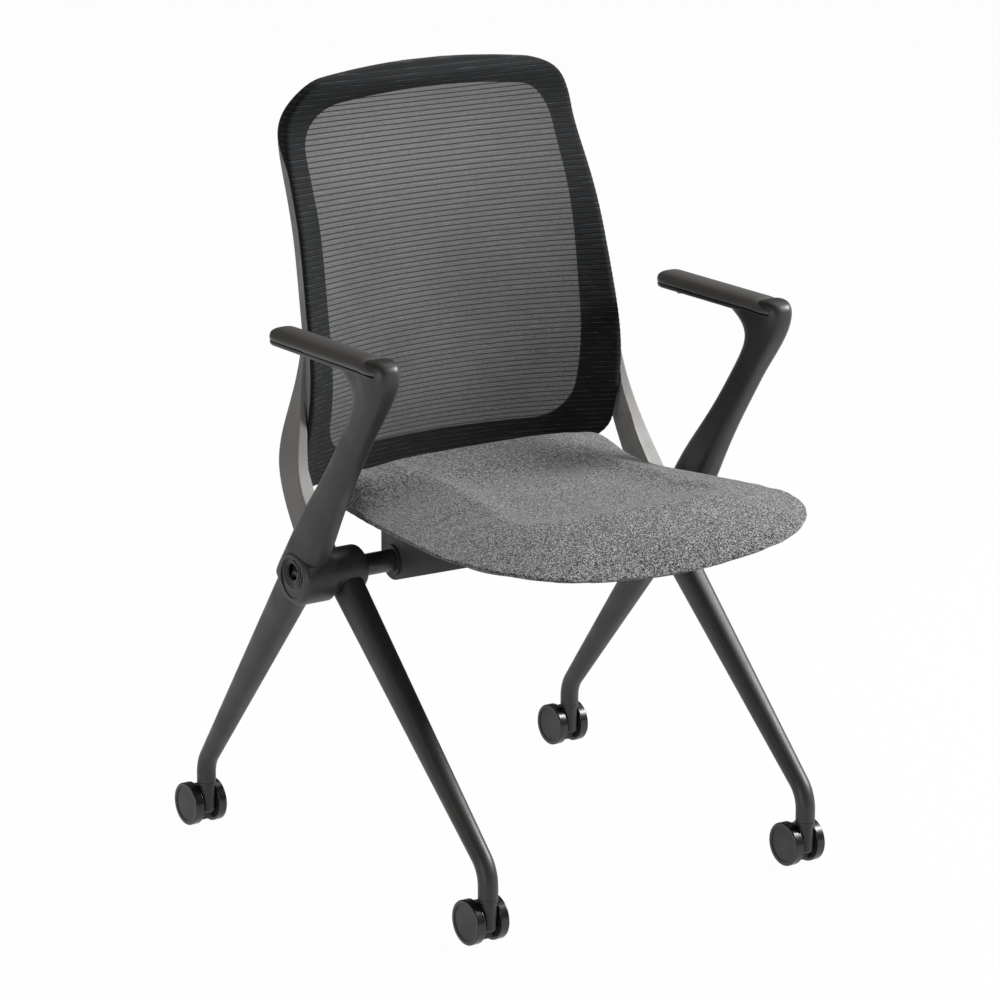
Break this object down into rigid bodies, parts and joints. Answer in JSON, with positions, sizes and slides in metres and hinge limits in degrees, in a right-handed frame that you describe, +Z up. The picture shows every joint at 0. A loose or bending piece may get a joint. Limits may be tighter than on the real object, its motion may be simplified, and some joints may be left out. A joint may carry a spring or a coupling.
{
  "type": "nesting chair",
  "caption": "Nesting chair with a mesh back, arms and a flip-up upholstered seat, on angled legs with twin-wheel casters.",
  "frame": {"origin": "on the floor, in the middle of the chair's footprint", "axes": "+Z up, the chair faces -Y, +X is the sitter's left"},
  "size_m": [0.624, 0.6615, 0.9655],
  "materials": {
    "frame_paint": "satin dark warm grey powder coat",
    "pad_plastic": "satin dark grey with a soft highlight",
    "tube_steel": "satin black",
    "plug_plastic": "matt black",
    "bolt_steel": "black oxide",
    "black_steel": "matt black",
    "bush_plastic": "matt black acetal",
    "back_plastic": "fine-grained warm grey",
    "carrier_plastic": "matt black",
    "mesh_fabric": "open woven mesh with dark cross ribs",
    "seat_fabric": "heather grey woven upholstery",
    "seat_plywood": "raw",
    "pan_plastic": "fine-grained dark grey",
    "socket_plastic": "matt black",
    "stem_steel": "bright",
    "caster_plastic": "satin black",
    "wheel_plastic": "matt black",
    "tread_plastic": "glossy black"
  },
  "bodies": {
    "frame": {"arm_frame_left": "frame_paint", "arm_frame_right": "frame_paint", "arm_pad_left": "pad_plastic", "arm_pad_right": "pad_plastic", "front_leg_left": "frame_paint", "front_leg_right": "frame_paint", "rear_leg_left": "frame_paint", "rear_leg_right": "frame_paint", "cross_tube": "tube_steel", "tube_end_plugs": "plug_plastic", "hub_bolts": "bolt_steel", "hub_caps": "plug_plastic", "stop_lugs": "black_steel", "arm_pad_screws": "bolt_steel", "back_frame": "back_plastic", "mesh_carrier": "carrier_plastic", "back_mesh": "mesh_fabric", "carrier_screws": "bolt_steel", "back_bolts": "bolt_steel", "caster_sockets": "socket_plastic", "caster_stem_front_left": "stem_steel", "caster_stem_front_right": "stem_steel", "caster_stem_rear_left": "stem_steel", "caster_stem_rear_right": "stem_steel"},
    "seat": {"seat_cushion": "seat_fabric", "seat_board": "seat_plywood", "seat_pan": "pan_plastic", "pivot_bracket_left": "black_steel", "pivot_bracket_right": "black_steel", "pivot_bushes": "bush_plastic", "seat_screws": "bolt_steel", "pan_screws": "bolt_steel"},
    "caster_front_left": {"caster_body_front_left": "caster_plastic", "caster_axle_front_left": "stem_steel"},
    "wheels_front_left_outer": {"wheel_front_left_outer": "wheel_plastic", "tread_front_left_outer": "tread_plastic"},
    "wheels_front_left_inner": {"wheel_front_left_inner": "wheel_plastic", "tread_front_left_inner": "tread_plastic"},
    "caster_front_right": {"caster_body_front_right": "caster_plastic", "caster_axle_front_right": "stem_steel"},
    "wheels_front_right_outer": {"wheel_front_right_outer": "wheel_plastic", "tread_front_right_outer": "tread_plastic"},
    "wheels_front_right_inner": {"wheel_front_right_inner": "wheel_plastic", "tread_front_right_inner": "tread_plastic"},
    "caster_rear_left": {"caster_body_rear_left": "caster_plastic", "caster_axle_rear_left": "stem_steel"},
    "wheels_rear_left_outer": {"wheel_rear_left_outer": "wheel_plastic", "tread_rear_left_outer": "tread_plastic"},
    "wheels_rear_left_inner": {"wheel_rear_left_inner": "wheel_plastic", "tread_rear_left_inner": "tread_plastic"},
    "caster_rear_right": {"caster_body_rear_right": "caster_plastic", "caster_axle_rear_right": "stem_steel"},
    "wheels_rear_right_outer": {"wheel_rear_right_outer": "wheel_plastic", "tread_rear_right_outer": "tread_plastic"},
    "wheels_rear_right_inner": {"wheel_rear_right_inner": "wheel_plastic", "tread_rear_right_inner": "tread_plastic"}
  },
  "joints": [
    {"name": "seat_flip", "type": "hinge", "parent": "frame", "child": "seat", "pos_m": [0, 0.037, 0.388], "axis": [-1, 0, 0], "range_deg": [0, 75]},
    {"name": "swivel_front_left", "type": "hinge", "parent": "frame", "child": "caster_front_left", "pos_m": [0.239, -0.269, 0.0585], "axis": [0, 0, 1], "continuous": true},
    {"name": "roll_front_left_outer", "type": "hinge", "parent": "caster_front_left", "child": "wheels_front_left_outer", "pos_m": [0.239, -0.254, 0.0275], "axis": [1, 0, 0], "continuous": true},
    {"name": "roll_front_left_inner", "type": "hinge", "parent": "caster_front_left", "child": "wheels_front_left_inner", "pos_m": [0.239, -0.254, 0.0275], "axis": [1, 0, 0], "continuous": true},
    {"name": "swivel_front_right", "type": "hinge", "parent": "frame", "child": "caster_front_right", "pos_m": [-0.239, -0.269, 0.0585], "axis": [0, 0, 1], "continuous": true},
    {"name": "roll_front_right_outer", "type": "hinge", "parent": "caster_front_right", "child": "wheels_front_right_outer", "pos_m": [-0.239, -0.254, 0.0275], "axis": [1, 0, 0], "continuous": true},
    {"name": "roll_front_right_inner", "type": "hinge", "parent": "caster_front_right", "child": "wheels_front_right_inner", "pos_m": [-0.239, -0.254, 0.0275], "axis": [1, 0, 0], "continuous": true},
    {"name": "swivel_rear_left", "type": "hinge", "parent": "frame", "child": "caster_rear_left", "pos_m": [0.285, 0.288, 0.0585], "axis": [0, 0, 1], "continuous": true},
    {"name": "roll_rear_left_outer", "type": "hinge", "parent": "caster_rear_left", "child": "wheels_rear_left_outer", "pos_m": [0.285, 0.303, 0.0275], "axis": [1, 0, 0], "continuous": true},
    {"name": "roll_rear_left_inner", "type": "hinge", "parent": "caster_rear_left", "child": "wheels_rear_left_inner", "pos_m": [0.285, 0.303, 0.0275], "axis": [1, 0, 0], "continuous": true},
    {"name": "swivel_rear_right", "type": "hinge", "parent": "frame", "child": "caster_rear_right", "pos_m": [-0.285, 0.288, 0.0585], "axis": [0, 0, 1], "continuous": true},
    {"name": "roll_rear_right_outer", "type": "hinge", "parent": "caster_rear_right", "child": "wheels_rear_right_outer", "pos_m": [-0.285, 0.303, 0.0275], "axis": [1, 0, 0], "continuous": true},
    {"name": "roll_rear_right_inner", "type": "hinge", "parent": "caster_rear_right", "child": "wheels_rear_right_inner", "pos_m": [-0.285, 0.303, 0.0275], "axis": [1, 0, 0], "continuous": true}
  ]
}
